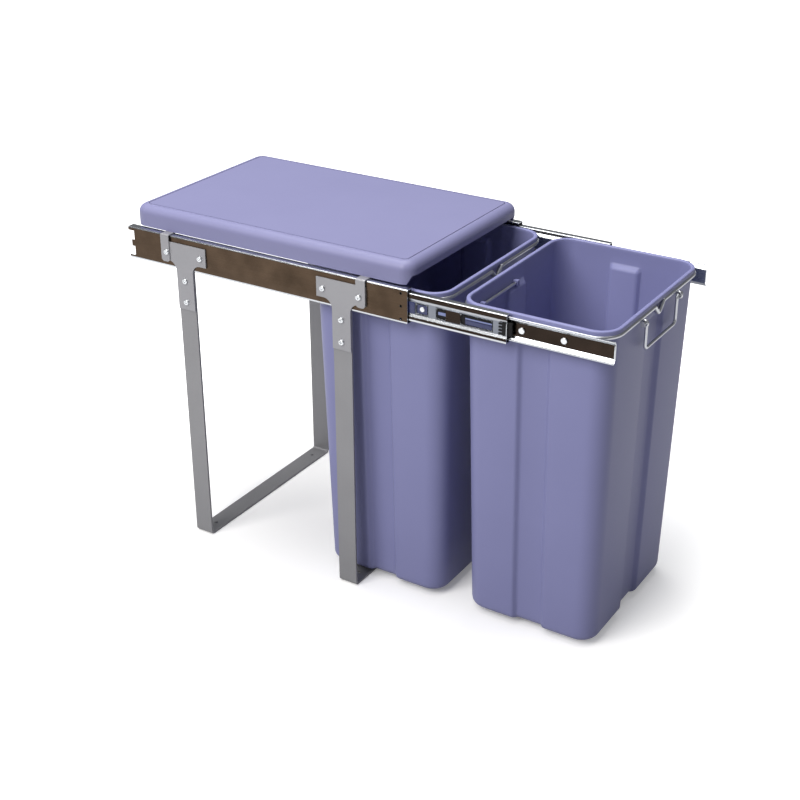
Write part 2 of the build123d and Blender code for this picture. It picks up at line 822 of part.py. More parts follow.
save("ring_rear", ring_wire(rear_bin_y))
with BuildPart() as front_ring:
    add(ring_wire(front_bin_y))
    for eye_x in (-handle_half - eye_offset, handle_half + eye_offset):
        with Locations(Plane(origin=(eye_x, handle_y, handle_height), z_dir=(1, 0, 0))):
            Torus(eye_radius, eye_wire_diameter / 2)
save("ring_front", front_ring.part)


# Ring brackets: plates under the rings' side bars, riveted to the inner rails
def ring_bracket(bin_shift):
    centre_y = carrier_front + bin_shift + rivet_front_inset + rivet_pair_spacing / 2
    top = ring_height - ring_wire_diameter / 2
    with BuildPart() as bracket:
        with BuildSketch(web_plane(rail_depth, centre_y, top - bracket_height / 2)):
            RectangleRounded(bracket_length, bracket_height, bracket_corner_radius)
        extrude(amount=-bracket_thickness)
        with BuildSketch(web_plane(rail_depth, centre_y)):
            with GridLocations(rivet_pair_spacing, 0, 2, 1):
                Circle(rivet_shank_diameter / 2 + rivet_hole_clearance)
        extrude(amount=-bracket_thickness, mode=Mode.SUBTRACT)
    return bracket


save_pair("ring_bracket_front", ring_bracket(0))
save_pair("ring_bracket_rear", ring_bracket(bin_pitch))


# Pull handle: a wire bail that hangs in the front ring's two eyes and swings up to be pulled
with BuildPart() as pull_handle:
    end_x = handle_half + handle_end_length
    low = handle_height - handle_drop
    handle_points = [
        (-end_x, handle_y, handle_height),
        (-handle_half, handle_y, handle_height),
        (-handle_half, handle_y, low),
        (handle_half, handle_y, low),
        (handle_half, handle_y, handle_height),
        (end_x, handle_y, handle_height),
    ]
    handle_radii = [
        handle_end_bend_radius,
        handle_bend_radius,
        handle_bend_radius,
        handle_end_bend_radius,
    ]
    sweep_wire(wire_path(handle_points, handle_radii), handle_wire_diameter)
    for head_x in (-end_x - handle_head_length / 2, end_x + handle_head_length / 2):
        with Locations(Plane(origin=(head_x, handle_y, handle_height), z_dir=(1, 0, 0))):
            Cylinder(handle_head_diameter / 2, handle_head_length)
save("pull_handle", pull_handle.part)
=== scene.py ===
"""Looks of the pull-out bin frame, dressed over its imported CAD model.

Metres, +Z up. The bins pull out along -Y, and -X is the left slide's side.
"""

import math

import bpy
from mathutils import Matrix, Vector


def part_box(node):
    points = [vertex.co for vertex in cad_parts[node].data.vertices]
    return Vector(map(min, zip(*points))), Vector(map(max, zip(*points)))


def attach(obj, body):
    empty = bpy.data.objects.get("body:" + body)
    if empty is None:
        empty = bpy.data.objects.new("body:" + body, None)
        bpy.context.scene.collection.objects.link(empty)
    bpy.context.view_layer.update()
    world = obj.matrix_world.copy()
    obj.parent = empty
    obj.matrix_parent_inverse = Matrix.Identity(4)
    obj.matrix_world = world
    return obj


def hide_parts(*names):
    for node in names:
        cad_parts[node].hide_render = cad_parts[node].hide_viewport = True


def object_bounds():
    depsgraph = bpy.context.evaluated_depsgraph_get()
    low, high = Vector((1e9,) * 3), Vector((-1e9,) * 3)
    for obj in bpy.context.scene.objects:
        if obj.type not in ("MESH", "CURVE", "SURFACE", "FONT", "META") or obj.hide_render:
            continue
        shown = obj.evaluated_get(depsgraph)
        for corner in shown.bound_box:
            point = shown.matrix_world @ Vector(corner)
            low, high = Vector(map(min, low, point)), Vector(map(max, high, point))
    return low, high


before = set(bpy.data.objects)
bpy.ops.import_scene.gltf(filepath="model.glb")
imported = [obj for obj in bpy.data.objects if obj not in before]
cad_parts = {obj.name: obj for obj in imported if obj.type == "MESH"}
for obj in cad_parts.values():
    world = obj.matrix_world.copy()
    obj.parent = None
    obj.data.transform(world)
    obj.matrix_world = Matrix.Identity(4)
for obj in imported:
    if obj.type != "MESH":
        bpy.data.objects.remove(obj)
cad_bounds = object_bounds()


# Studio: a wide sheet of white paper that glows to plain white away from the object, a broad soft
# key lamp high on the left, a second lamp overhead, and a pale surround behind it all.
def linear(hex_colour):
    """Turn an sRGB hex colour into linear RGBA."""
    shares = [int(hex_colour[i:i + 2], 16) / 255 for i in (1, 3, 5)]
    return tuple(s / 12.92 if s <= 0.04045 else ((s + 0.055) / 1.055) ** 2.4 for s in shares) + (1.0,)


def add_node(tree, kind, sockets=None, **settings):
    """Add a node with these settings; a socket gets a value, or a link from another's output."""
    made = tree.nodes.new(kind)
    for name, value in settings.items():
        setattr(made, name, value)
    for name, value in (sockets or {}).items():
        if isinstance(value, bpy.types.NodeSocket):
            tree.links.new(value, made.inputs[name])
        else:
            made.inputs[name].default_value = value
    return made


def new_material(name):
    """An empty node material, with its output node."""
    material = bpy.data.materials.new(name)
    material.use_nodes = True
    material.node_tree.nodes.clear()
    return material, material.node_tree, material.node_tree.nodes.new("ShaderNodeOutputMaterial")


def deselect_all():
    """Nothing stays selected, and the next object starts alone."""
    if bpy.context.object and bpy.context.object.mode != "OBJECT":
        bpy.ops.object.mode_set(mode="OBJECT")
    bpy.ops.object.select_all(action="DESELECT")


surround = bpy.data.worlds.new("pale_surround")
bpy.context.scene.world = surround
surround.use_nodes = True
surround_tree = surround.node_tree
surround_tree.nodes.clear()
seen = add_node(surround_tree, "ShaderNodeLightPath")
shown = add_node(
    surround_tree, "ShaderNodeMath",
    {0: seen.outputs["Is Camera Ray"], 1: seen.outputs["Is Transmission Ray"]}, operation="MAXIMUM",
)
backdrop_light = add_node(
    surround_tree, "ShaderNodeBackground", {"Color": linear("#FCFCFC"), "Strength": 1.0}
)
object_light = add_node(
    surround_tree, "ShaderNodeBackground", {"Color": linear("#F4F5F8"), "Strength": 0.2}
)
surround_mix = add_node(
    surround_tree, "ShaderNodeMixShader",
    {0: shown.outputs[0], 1: object_light.outputs[0], 2: backdrop_light.outputs[0]},
)
add_node(surround_tree, "ShaderNodeOutputWorld", {"Surface": surround_mix.outputs[0]})

floor_size = 14.0
deselect_all()
bpy.ops.mesh.primitive_plane_add(size=floor_size)
studio_floor = bpy.context.object
studio_floor.name = "studio_floor"
floor_material, floor_tree, floor_end = new_material("matt_white_paper_sweep")
# The eye meets bright paper, and the object gets back the light of a greyer one.
floor_seen = add_node(floor_tree, "ShaderNodeLightPath")
floor_paper = add_node(floor_tree, "ShaderNodeBsdfDiffuse", {"Color": linear("#F2F2F2")})
floor_return = add_node(floor_tree, "ShaderNodeBsdfDiffuse", {"Color": linear("#ACACAF")})
floor_place = add_node(floor_tree, "ShaderNodeTexCoord").outputs["Object"]
object_foot = (0.0, (cad_bounds[0].y + cad_bounds[1].y) / 2, 0.0)
floor_reach = add_node(
    floor_tree, "ShaderNodeVectorMath", {0: floor_place, 1: object_foot}, operation="DISTANCE"
)
# Near the object the paper glows little, so that its shadow stays; further out it is plain white.
glow_steps = {"From Min": 0.26, "From Max": 0.8, "To Min": 0.17, "To Max": 0.9}
floor_glow = add_node(
    floor_tree, "ShaderNodeMapRange", {"Value": floor_reach.outputs["Value"], **glow_steps}
).outputs["Result"]
floor_lift = add_node(
    floor_tree, "ShaderNodeEmission", {"Color": linear("#FFFFFF"), "Strength": floor_glow}
)
floor_bright = add_node(
    floor_tree, "ShaderNodeAddShader", {0: floor_paper.outputs[0], 1: floor_lift.outputs[0]}
)
floor_shine = add_node(
    floor_tree, "ShaderNodeMath", {0: floor_seen.outputs["Is Glossy Ray"], 1: 0.5}, operation="MULTIPLY"
)
floor_shown = add_node(
    floor_tree, "ShaderNodeMath", {0: floor_seen.outputs["Is Camera Ray"], 1: floor_shine.outputs[0]},
    operation="MAXIMUM",
)
floor_mix = add_node(
    floor_tree, "ShaderNodeMixShader",
    {0: floor_shown.outputs[0], 1: floor_return.outputs[0], 2: floor_bright.outputs[0]},
)
floor_tree.links.new(floor_mix.outputs[0], floor_end.inputs["Surface"])
studio_floor.data.materials.append(floor_material)

object_middle = (cad_bounds[0] + cad_bounds[1]) / 2
lamp_size = 2.2


def soft_lamp(name, place, watts, colour):
    """Square area lamp at a place, turned to face the object."""
    lamp = bpy.data.lights.new(name, "AREA")
    lamp.size = lamp_size
    lamp.energy = watts
    lamp.color = linear(colour)[:3]
    lamp_object = bpy.data.objects.new(name, lamp)
    bpy.context.collection.objects.link(lamp_object)
    lamp_object.location = place
    lamp_object.rotation_euler = (object_middle - Vector(place)).to_track_quat("-Z", "Y").to_euler()


soft_lamp("key_lamp", place=(-2.6, 0.5, 2.7), watts=108, colour="#FFFDFA")
soft_lamp("top_lamp", place=(0.2, 0.3, 3.0), watts=76, colour="#FFFFFF")

camera_place = (-1.53463, -1.08223, 1.11376)
camera_heading = -57.885
camera_dip = 26.293
camera_roll = -0.179
camera_data = bpy.data.cameras.new("camera")
camera_data.sensor_width = 36.0
camera_data.lens = 64.496
camera = bpy.data.objects.new("camera", camera_data)
bpy.context.collection.objects.link(camera)
camera.location = camera_place
camera.rotation_euler = (
    Matrix.Rotation(math.radians(camera_heading), 3, "Z")
    @ Matrix.Rotation(math.radians(90 - camera_dip), 3, "X")
    @ Matrix.Rotation(math.radians(camera_roll), 3, "Z")
).to_euler()
bpy.context.scene.camera = camera
bpy.context.scene.view_settings.view_transform = "Standard"


# Leg frames and joining plates: hot-rolled strap and pressed T plates, deburred and then powder
# coated silver grey. The strap is bent to a U that stands on its own floor bar.
def finish_surface(tree, end, shader, grain=None, depth=0.0, strength=0.0):
    """Link a shader to the output, with a bump of this depth where it has a grain."""
    if grain is not None:
        bump = add_node(tree, "ShaderNodeBump", {"Height": grain, "Distance": depth, "Strength": strength})
        tree.links.new(bump.outputs[0], shader.inputs["Normal"])
    tree.links.new(shader.outputs[0], end.inputs["Surface"])


def powder_coat(name, colour, dark_colour):
    """Polyester powder on steel: a faint orange peel, and a satin glint from its aluminium flake."""
    material, tree, end = new_material(name)
    place = add_node(tree, "ShaderNodeTexCoord").outputs["Object"]
    peel_size = 0.0022
    peel = add_node(
        tree, "ShaderNodeTexNoise",
        {"Vector": place, "Scale": 1 / peel_size, "Detail": 2.0, "Roughness": 0.5},
    )
    cloud_size = 0.06
    cloud = add_node(tree, "ShaderNodeTexNoise", {"Vector": place, "Scale": 1 / cloud_size, "Detail": 3.0})
    tone = add_node(
        tree, "ShaderNodeMix",
        {"Factor": cloud.outputs["Fac"], "A": linear(dark_colour), "B": linear(colour)}, data_type="RGBA",
    ).outputs["Result"]
    sheen = add_node(
        tree, "ShaderNodeMapRange",
        {"Value": peel.outputs["Fac"], "From Min": 0.3, "From Max": 0.7, "To Min": 0.36, "To Max": 0.5},
    ).outputs["Result"]
    coat = add_node(
        tree, "ShaderNodeBsdfPrincipled",
        {"Base Color": tone, "Roughness": sheen, "Metallic": 0.35, "IOR": 1.5},
    )
    finish_surface(tree, end, coat, peel.outputs["Fac"], depth=0.00006, strength=0.35)
    return material


merge_gap = 0.000002
flat_angle, sharp_angle = 0.6, 40


def edged_copy(node, body, materials, edge=0.0, smooth_angle=35.0):
    """Copy of a CAD piece with its sharp edges broken, which stands for it and rides on its body."""
    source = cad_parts[node]
    piece = source.copy()
    piece.data = source.data.copy()
    piece.name = f"{node}_finished"
    bpy.context.collection.objects.link(piece)
    deselect_all()
    piece.hide_render = False
    piece.hide_viewport = False
    piece.parent = None
    piece.matrix_world = Matrix.Identity(4)
    piece.select_set(True)
    bpy.context.view_layer.objects.active = piece
    bpy.ops.object.mode_set(mode="EDIT")
    bpy.ops.mesh.select_all(action="SELECT")
    bpy.ops.mesh.remove_doubles(threshold=merge_gap)
    bpy.ops.mesh.dissolve_limited(angle_limit=math.radians(flat_angle))
    bpy.ops.object.mode_set(mode="OBJECT")
    if edge:
        bevel = piece.modifiers.new("broken_edges", "BEVEL")
        bevel.width = edge
        bevel.segments = 2
        bevel.limit_method = "ANGLE"
        bevel.angle_limit = math.radians(sharp_angle)
        bpy.ops.object.modifier_apply(modifier=bevel.name)
    bpy.ops.object.shade_smooth_by_angle(angle=math.radians(smooth_angle))
    even = piece.modifiers.new("flat_faces_stay_flat", "WEIGHTED_NORMAL")
    even.keep_sharp = True
    bpy.ops.object.modifier_apply(modifier=even.name)
    piece.data.materials.clear()
    for material in materials:
        piece.data.materials.append(material)
    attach(piece, body)
    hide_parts(node)
    return piece


grey_powder = powder_coat("powder_coated_plate", "#A1A1A5", "#95959A")
# The leg straps get a darker grey than the plates, though both carry the same coat: painted shade.
strap_powder_painted_shade = powder_coat("powder_coated_strap_painted_shade", "#939396", "#88888B")
for end_name in ("rear", "front"):
    edged_copy(f"leg_frame_{end_name}", "frame", [strap_powder_painted_shade], edge=0.0006)
    for side in ("left", "right"):
        edged_copy(f"joining_plate_{end_name}_{side}", "frame", [grey_powder], edge=0.0005)


# Screws and rivets: cold-headed steel, zinc plated after the cross recess is punched. They hold
# the plates, the hooks and the lid; the button heads join the inner rails to the ring brackets.
def zinc_hardware():
    """Zinc on small headed parts: bright and a little milky, since the bath tumbles them together."""
    material, tree, end = new_material("zinc_plated_fastener")
    place = add_node(tree, "ShaderNodeTexCoord").outputs["Object"]
    tumble_size = 0.0012
    tumble = add_node(
        tree, "ShaderNodeTexNoise", {"Vector": place, "Scale": 1 / tumble_size, "Detail": 3.0}
    )
    sheen = add_node(
        tree, "ShaderNodeMapRange", {"Value": tumble.outputs["Fac"], "To Min": 0.22, "To Max": 0.38}
    )
    zinc = add_node(
        tree, "ShaderNodeBsdfPrincipled",
        {"Base Color": linear("#DCDFE2"), "Roughness": sheen.outputs["Result"], "Metallic": 1.0},
    )
    finish_surface(tree, end, zinc, tumble.outputs["Fac"], depth=0.00003, strength=0.25)
    return material


bright_zinc = zinc_hardware()
for side in ("left", "right"):
    edged_copy(f"plate_screws_{side}", "frame", [bright_zinc])
    edged_copy(f"lid_screws_{side}", "frame", [bright_zinc])
    edged_copy(f"bracket_rivets_{side}", "drawer", [bright_zinc])
    edged_copy(f"stop_rivet_{side}", "drawer", [bright_zinc])


# Lid hooks and ring brackets: cut from strip. The hooks, coated like the plates, go over them and
# bend over the rails' tops to carry the lid; the plated brackets carry the rings on the inner rails.
def zinc_strip(name, colour, dark_colour, roughness):
    """Zinc on rolled strip: fine streaks run along the rolling direction, which is the slides' length."""
    material, tree, end = new_material(name)
    place = add_node(tree, "ShaderNodeTexCoord").outputs["Object"]
    # Rolling streaks are about 0.1 mm wide; they are drawn coarser, so that they show.
    streak_width = 0.0008
    streak_length = 0.05
    lie = add_node(
        tree, "ShaderNodeMapping",
        {"Vector": place, "Scale": (1 / streak_width, 1 / streak_length, 1 / streak_width)},
    )
    streaks = add_node(
        tree, "ShaderNodeTexNoise",
        {"Vector": lie.outputs[0], "Scale": 1.0, "Detail": 4.0, "Roughness": 0.6},
    )
    cloud_size = 0.03
    clouds = add_node(tree, "ShaderNodeTexNoise", {"Vector": place, "Scale": 1 / cloud_size, "Detail": 2.0})
    colour_mix = add_node(
        tree, "ShaderNodeMix",
        {"Factor": clouds.outputs["Fac"], "A": linear(dark_colour), "B": linear(colour)}, data_type="RGBA",
    )
    sheen_range = {"To Min": roughness * 0.75, "To Max": roughness * 1.3}
    sheen = add_node(
        tree, "ShaderNodeMapRange",
        {"Value": streaks.outputs["Fac"], "From Min": 0.3, "From Max": 0.7, **sheen_range},
    )
    strip = add_node(
        tree, "ShaderNodeBsdfPrincipled",
        {"Base Color": colour_mix.outputs["Result"], "Roughness": sheen.outputs["Result"], "Metallic": 1.0},
    )
    finish_surface(tree, end, strip, streaks.outputs["Fac"], depth=0.00002, strength=0.3)
    return material


plated_strip = zinc_strip("zinc_plated_strip", "#D2D5D9", "#BBBFC4", 0.24)
for side in ("left", "right"):
    for end_name in ("rear", "front"):
        edged_copy(f"lid_hook_{end_name}_{side}", "frame", [grey_powder], edge=0.0003)
        edged_copy(f"ring_bracket_{end_name}_{side}", "drawer", [plated_strip], edge=0.0003)


# Slide rails: three roll-formed sections on each side, zinc plated. Their flat webs carry a film
# of brown slide grease, painted darker as a dark reflection and darker still as painted shade in
# the channels; the middle rail's recess is wiped bare of grease but painted a darker grey as shade,
# the inner webs' inward faces are painted blue as a reflection, and the bends are bright.
# Brown grease, with a painted dark reflection in its colour.
grease_and_dark_reflection_web = zinc_strip("zinc_web_grease_and_painted_dark_reflection", "#5E4E40", "#3C3127", 0.3)
# The same grease, darker: painted shade for webs that lie in a channel.
grease_and_shade_web = zinc_strip("zinc_web_grease_and_painted_shade", "#3A302A", "#241F1B", 0.26)
# Bare zinc, darkened to a mid grey: painted shade in the middle rail's recess.
bare_web_painted_shade = zinc_strip("bare_zinc_web_painted_shade", "#8A8E97", "#757982", 0.34)
# A pale blue on the inner webs' inward faces: a painted reflection.
blue_reflection_web = zinc_strip("zinc_web_painted_blue_reflection", "#A4ADBF", "#929BAD", 0.3)
web_materials = [plated_strip, grease_and_dark_reflection_web, bare_web_painted_shade, blue_reflection_web, grease_and_shade_web]

outer_face_x = -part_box("outer_rail_left")[0].x
# Depths behind that face: the middle rail's recess from its front to its back, and the inner web.
recess_face, recess_back, inner_web_face = 0.0042, 0.0054, 0.0115
depth_slack = 0.0002
bend_height = 0.0031
rail_edge = 0.0002


def faces_out(face):
    """True for a face along the slide's web."""
    return abs(face.normal.x) > 0.97


def paint_web(rail, material, near, far=math.inf, above=0.0):
    """Give one of the web materials to a rail's web between two depths, above a height."""
    for face in rail.data.polygons:
        depth = outer_face_x - abs(face.center.x)
        if faces_out(face) and near < depth < far and face.center.z > above:
            face.material_index = web_materials.index(material)


def cut_across(point, direction):
    """Bisect the whole mesh with a plane, so that a line of edges lies there."""
    bpy.ops.object.mode_set(mode="EDIT")
    bpy.ops.mesh.select_all(action="SELECT")
    bpy.ops.mesh.bisect(plane_co=point, plane_no=direction)
    bpy.ops.object.mode_set(mode="OBJECT")


def line_along(node):
    """Cut a line along a rail, a little over its bright lower bend."""
    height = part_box(node)[0].z + bend_height
    cut_across((0, 0, height), (0, 0, 1))
    return height


for side in ("left", "right"):
    outer_rail = edged_copy(f"outer_rail_{side}", "frame", web_materials, rail_edge)
    bend_line = line_along(f"outer_rail_{side}")
    # The outer web: grease with a painted dark reflection.
    paint_web(outer_rail, grease_and_dark_reflection_web, -depth_slack, depth_slack, bend_line)

    middle_rail = edged_copy(
        f"middle_rail_{side}", f"middle_{side}", web_materials, rail_edge
    )
    bend_line = line_along(f"middle_rail_{side}")
    # The middle rail's bands get painted shade, and its recess a grey darkened as painted shade.
    paint_web(middle_rail, grease_and_shade_web, -depth_slack, recess_face - depth_slack, bend_line)
    paint_web(middle_rail, bare_web_painted_shade, recess_face - depth_slack)

    inner_rail = edged_copy(f"inner_rail_{side}", "drawer", web_materials, rail_edge)
    # The inner web's outer face gets painted shade, and its inward face a painted blue reflection.
    paint_web(inner_rail, grease_and_shade_web, inner_web_face - depth_slack)
    paint_web(inner_rail, blue_reflection_web, inner_web_face + depth_slack)


# Ball cages and balls: pierced strip that keeps each row of hardened balls apart, so that they
# roll between two rails. They are filmed with grease and can only be seen from the rails' ends.
def bearing_steel():
    """Hardened steel ball, lapped: a mirror with a faint film of grease."""
    material, tree, end = new_material("lapped_bearing_steel")
    place = add_node(tree, "ShaderNodeTexCoord").outputs["Object"]
    film_size = 0.0015
    film = add_node(tree, "ShaderNodeTexNoise", {"Vector": place, "Scale": 1 / film_size})
    sheen = add_node(
        tree, "ShaderNodeMapRange", {"Value": film.outputs["Fac"], "To Min": 0.06, "To Max": 0.2}
    )
    steel = add_node(
        tree, "ShaderNodeBsdfPrincipled",
        {"Base Color": linear("#D4D4D6"), "Roughness": sheen.outputs["Result"], "Metallic": 1.0},
    )
    finish_surface(tree, end, steel)
    return material


ball_steel = bearing_steel()
cage_strip = zinc_strip("cage_strip", "#A7A4A0", "#8C8883", 0.36)
for side in ("left", "right"):
    for level in ("outer", "inner"):
        edged_copy(f"{level}_cage_{side}", f"{level}_cage_{side}", [cage_strip])
        edged_copy(
            f"{level}_balls_{side}", f"{level}_cage_{side}", [ball_steel], smooth_angle=60
        )


# Slide bumpers: injection-moulded black nylon collars pressed into the rails' front ends, which
# guide the next rail and quieten the stop. A toothed nylon latch stands in the middle rail's
# recess, and the middle and inner rails end in small plated lips.
def black_nylon():
    """Glass-filled nylon, moulded: near black, with a dull eroded grain from the tool."""
    material, tree, end = new_material("moulded_black_nylon")
    place = add_node(tree, "ShaderNodeTexCoord").outputs["Object"]
    # Eroded grain is about 0.15 mm wide; it is drawn coarser, so that it shows.
    grain_size = 0.0006
    grain = add_node(tree, "ShaderNodeTexNoise", {"Vector": place, "Scale": 1 / grain_size, "Detail": 3.0})
    colour = add_node(
        tree, "ShaderNodeMix",
        {"Factor": grain.outputs["Fac"], "A": linear("#0B0B0D"), "B": linear("#151517")}, data_type="RGBA",
    )
    nylon = add_node(
        tree, "ShaderNodeBsdfPrincipled",
        {"Base Color": colour.outputs["Result"], "Roughness": 0.6, "Specular IOR Level": 0.25},
    )
    finish_surface(tree, end, nylon, grain.outputs["Fac"], depth=0.00004, strength=0.4)
    return material


nylon = black_nylon()
for side in ("left", "right"):
    edged_copy(f"outer_bumper_{side}", "frame", [nylon], edge=0.0004)
    edged_copy(f"middle_bumper_{side}", f"middle_{side}", [nylon], edge=0.0004)


def start_box(name, low, high):
    """A box between two corners, alone and active, with its place in its mesh."""
    deselect_all()
    middle = (Vector(low) + Vector(high)) / 2
    bpy.ops.mesh.primitive_cube_add(size=1, location=middle)
    piece = bpy.context.object
    piece.name = name
    piece.scale = Vector(high) - Vector(low)
    bpy.ops.object.transform_apply(location=True, rotation=True, scale=True)
    return piece


def apply_bevel(piece, width, segments=2, angle=sharp_angle):
    """Round the edges that are sharper than an angle."""
    bevel = piece.modifiers.new("rounding", "BEVEL")
    bevel.width = width
    bevel.segments = segments
    bevel.limit_method = "ANGLE"
    bevel.angle_limit = math.radians(angle)
    bpy.ops.object.mode_set(mode="OBJECT")
    bpy.ops.object.modifier_apply(modifier=bevel.name)


def join_pieces(name, parts):
    """One piece from several, the last of them active."""
    deselect_all()
    for part in parts:
        part.select_set(True)
    bpy.context.view_layer.objects.active = parts[-1]
    bpy.ops.object.join()
    piece = bpy.context.object
    piece.name = name
    return piece


def finish_piece(piece, body, material, smooth_angle=40.0):
    """Shade a new piece, give it its one material, and let it ride on its body."""
    bpy.ops.object.mode_set(mode="OBJECT")
    bpy.ops.object.shade_smooth_by_angle(angle=math.radians(smooth_angle))
    piece.data.materials.clear()
    piece.data.materials.append(material)
    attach(piece, body)


middle_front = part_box("middle_rail_left")[0].y
inner_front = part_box("inner_rail_left")[0].y
rail_middle_height = (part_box("middle_rail_left")[0].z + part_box("middle_rail_left")[1].z) / 2


def beside_web(sign, near, far, start, length, height, lift=0.0):
    """Corners of a block on one side's slide, from its depths behind the outer face."""
    xs = sorted((sign * (outer_face_x - near), sign * (outer_face_x - far)))
    low = (xs[0], start, rail_middle_height + lift - height / 2)
    high = (xs[1], start + length, rail_middle_height + lift + height / 2)
    return low, high


moulded_edge = 0.0003
latch_depth = 0.0028
latch_start, latch_length, latch_height = middle_front + 0.0014, 0.0050, 0.0168
tooth_length, tooth_height, tooth_count = 0.0048, 0.0021, 4
lip_thickness, lip_height, lip_edge = 0.0009, 0.0168, 0.0002
inner_lip_reach, inner_lip_height = 0.0020, 0.0170
for side, sign in (("left", -1), ("right", 1)):
    plate = start_box(
        "latch_plate", *beside_web(sign, latch_depth, recess_face, latch_start, latch_length, latch_height)
    )
    apply_bevel(plate, moulded_edge)
    latch = [plate]
    tooth_size = (latch_start + latch_length, tooth_length, tooth_height)
    for number in range(tooth_count):
        lift = (number - (tooth_count - 1) / 2) * latch_height / tooth_count
        tooth = start_box("latch_tooth", *beside_web(sign, latch_depth, recess_face, *tooth_size, lift))
        apply_bevel(tooth, moulded_edge)
        latch.append(tooth)
    finish_piece(join_pieces(f"latch_comb_{side}", latch), f"middle_{side}", nylon)
    middle_lip = start_box(
        f"middle_end_lip_{side}",
        *beside_web(sign, latch_depth, recess_face, middle_front, lip_thickness, lip_height),
    )
    apply_bevel(middle_lip, lip_edge)
    finish_piece(middle_lip, f"middle_{side}", plated_strip)
    inner_lip_size = (inner_front, lip_thickness, inner_lip_height)
    inner_lip = start_box(
        f"inner_end_lip_{side}",
        *beside_web(sign, inner_web_face - inner_lip_reach, inner_web_face, *inner_lip_size),
    )
    apply_bevel(inner_lip, lip_edge)
    finish_piece(inner_lip, "drawer", plated_strip)


# Release lever, stop pin, detent rivet and catch pad: the small parts in the middle rails' recess,
# the first three in windows with a raised rim. They are moulded blue nylon, apart from the rivet,
# which is plated steel; the lever's rib and the stop pin are a paler blue, a painted highlight.
def blue_nylon(name, colour):
    """Dyed nylon, moulded: a cool dark blue with a smooth, slightly greasy shine."""
    material, tree, end = new_material(name)
    place = add_node(tree, "ShaderNodeTexCoord").outputs["Object"]
    smear_size = 0.003
    smear = add_node(tree, "ShaderNodeTexNoise", {"Vector": place, "Scale": 1 / smear_size, "Detail": 2.0})
    sheen = add_node(
        tree, "ShaderNodeMapRange", {"Value": smear.outputs["Fac"], "To Min": 0.2, "To Max": 0.4}
    )
    dyed = add_node(
        tree, "ShaderNodeBsdfPrincipled",
        {"Base Color": linear(colour), "Roughness": sheen.outputs["Result"], "IOR": 1.53},
    )
    finish_surface(tree, end, dyed, smear.outputs["Fac"], depth=0.00003, strength=0.2)
    return material


dark_lever = blue_nylon("dyed_nylon_lever", "#2E3560")
# The same nylon in a paler blue, for the lever's rib and the stop pin: a painted highlight.
highlit_lever = blue_nylon("dyed_nylon_painted_highlight", "#7E89B8")


def round_head(name, sign, front, radius, near, far):
    """Turned head that stands in a window, its face rounded."""
    depth = (near + far) / 2
    deselect_all()
    place = (sign * (outer_face_x - depth), middle_front + front, rail_middle_height)
    bpy.ops.mesh.primitive_cylinder_add(
        vertices=32, radius=radius, depth=far - near, location=place, rotation=(0, math.pi / 2, 0)
    )
    piece = bpy.context.object
    piece.name = name
    bpy.ops.object.transform_apply(location=True, rotation=True, scale=True)
    apply_bevel(piece, (far - near) / 3, segments=3)
    return piece


def select_by(piece, kind, wanted):
    """In edit mode, select only the vertices, edges or faces that the test picks."""
    bpy.ops.object.mode_set(mode="EDIT")
    bpy.ops.mesh.select_mode(type="VERT")
    bpy.ops.mesh.select_all(action="DESELECT")
    bpy.ops.mesh.select_mode(type=kind)
    bpy.ops.object.mode_set(mode="OBJECT")
    parts = {"VERT": piece.data.vertices, "EDGE": piece.data.edges, "FACE": piece.data.polygons}[kind]
    for part in parts:
        part.select = bool(wanted(part))
    bpy.ops.object.mode_set(mode="EDIT")


rim_width, rim_height, rim_edge = 0.0009, 0.0006, 0.00025
window_radius = 0.0018


def runs_across(piece, edge):
    """True for an edge that runs through the sheet."""
    first, second = (piece.data.vertices[number].co for number in edge.vertices)
    return abs(first.x - second.x) > rim_height / 2


def window_rim(name, sign, start, length, height):
    """Thin raised edge around a window: a plate, opened through its middle, with rounded corners."""
    corners = beside_web(
        sign, recess_face - rim_height, recess_face, start - rim_width, length + 2 * rim_width,
        height + 2 * rim_width,
    )
    piece = start_box(name, *corners)
    select_by(piece, "FACE", faces_out)
    bpy.ops.mesh.inset(thickness=rim_width, use_individual=True)
    bpy.ops.mesh.bridge_edge_loops()
    bpy.ops.object.mode_set(mode="OBJECT")
    select_by(piece, "EDGE", lambda edge: runs_across(piece, edge))
    bpy.ops.mesh.bevel(offset=window_radius, segments=4, affect="EDGES")
    bpy.ops.object.mode_set(mode="OBJECT")
    apply_bevel(piece, rim_edge, angle=50)
    return piece


window_height = 0.013
